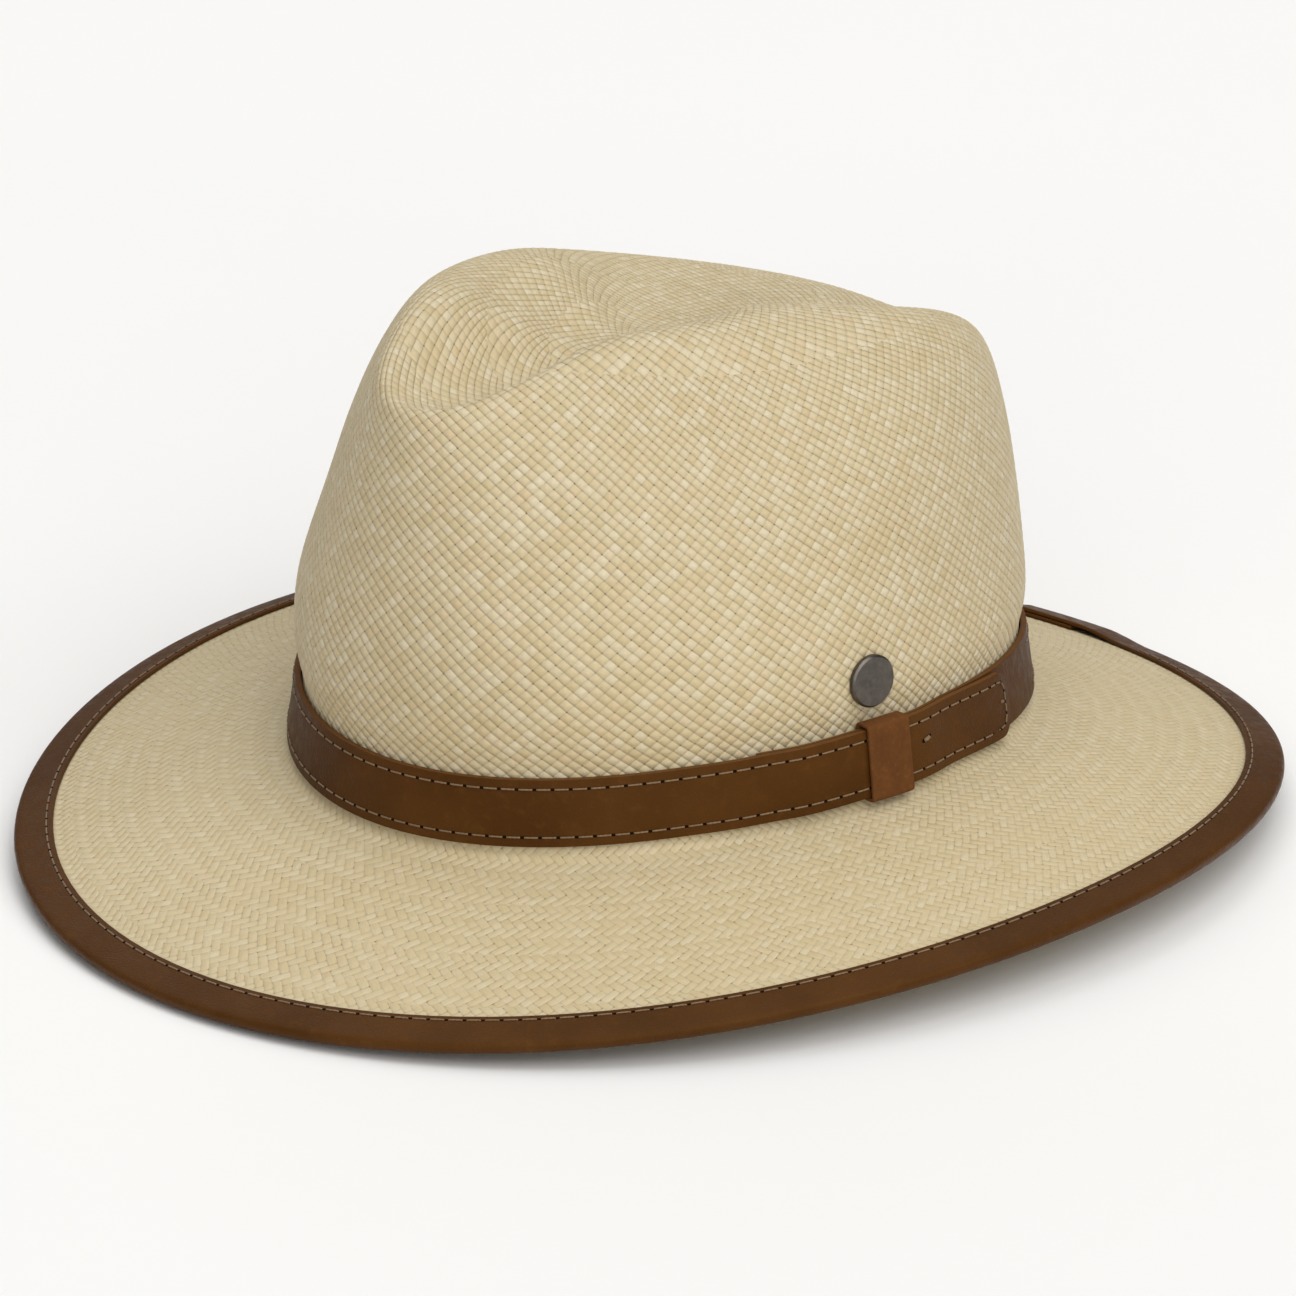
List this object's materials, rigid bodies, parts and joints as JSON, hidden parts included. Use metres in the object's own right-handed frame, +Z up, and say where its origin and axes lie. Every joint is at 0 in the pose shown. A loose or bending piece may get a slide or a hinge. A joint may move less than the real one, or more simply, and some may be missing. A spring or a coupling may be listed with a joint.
{
  "type": "panama hat",
  "caption": "Wide-brimmed woven straw hat with a creased crown, a leather-bound brim edge and a leather strap hatband with a sliding keeper and a plain round badge.",
  "frame": {"origin": "bottom centre of the whole hat, on the surface that the brim's edge rests on", "axes": "+Z up, -Y towards the hat's front, +Y towards its back, +X towards the wearer's left"},
  "size_m": [0.3076, 0.3384, 0.1473],
  "materials": {
    "straw": "matte",
    "leather": "satin",
    "keeper_leather": "matte",
    "thread": "matte",
    "badge_metal": "satin",
    "plain_metal": "satin",
    "sweatband_leather": "satin",
    "label_cloth": "matte",
    "reed_plastic": "matte",
    "bow_ribbon": "satin"
  },
  "bodies": {
    "hat": {"woven_body": "straw", "edge_binding": "leather", "binding_stitching": "thread", "hatband_strap": "leather", "strap_upper_stitching": "thread", "strap_lower_stitching": "thread", "front_tack": "thread", "rear_tack": "thread", "badge": "badge_metal", "badge_prongs": "plain_metal", "badge_washer": "plain_metal", "sweatband": "sweatband_leather", "sweatband_stitching": "thread", "sweatband_joint_thread": "thread", "size_label": "label_cloth", "sweatband_reed": "reed_plastic", "sweatband_bow": "bow_ribbon"},
    "keeper": {"strap_keeper": "keeper_leather"}
  },
  "joints": [
    {"name": "keeper_slide", "type": "hinge", "parent": "hat", "child": "keeper", "pos_m": [-0.03049, 0.00545, 0.029], "axis": [0, 0.0213, 0.9998], "range_deg": [-4, 1.2]}
  ]
}
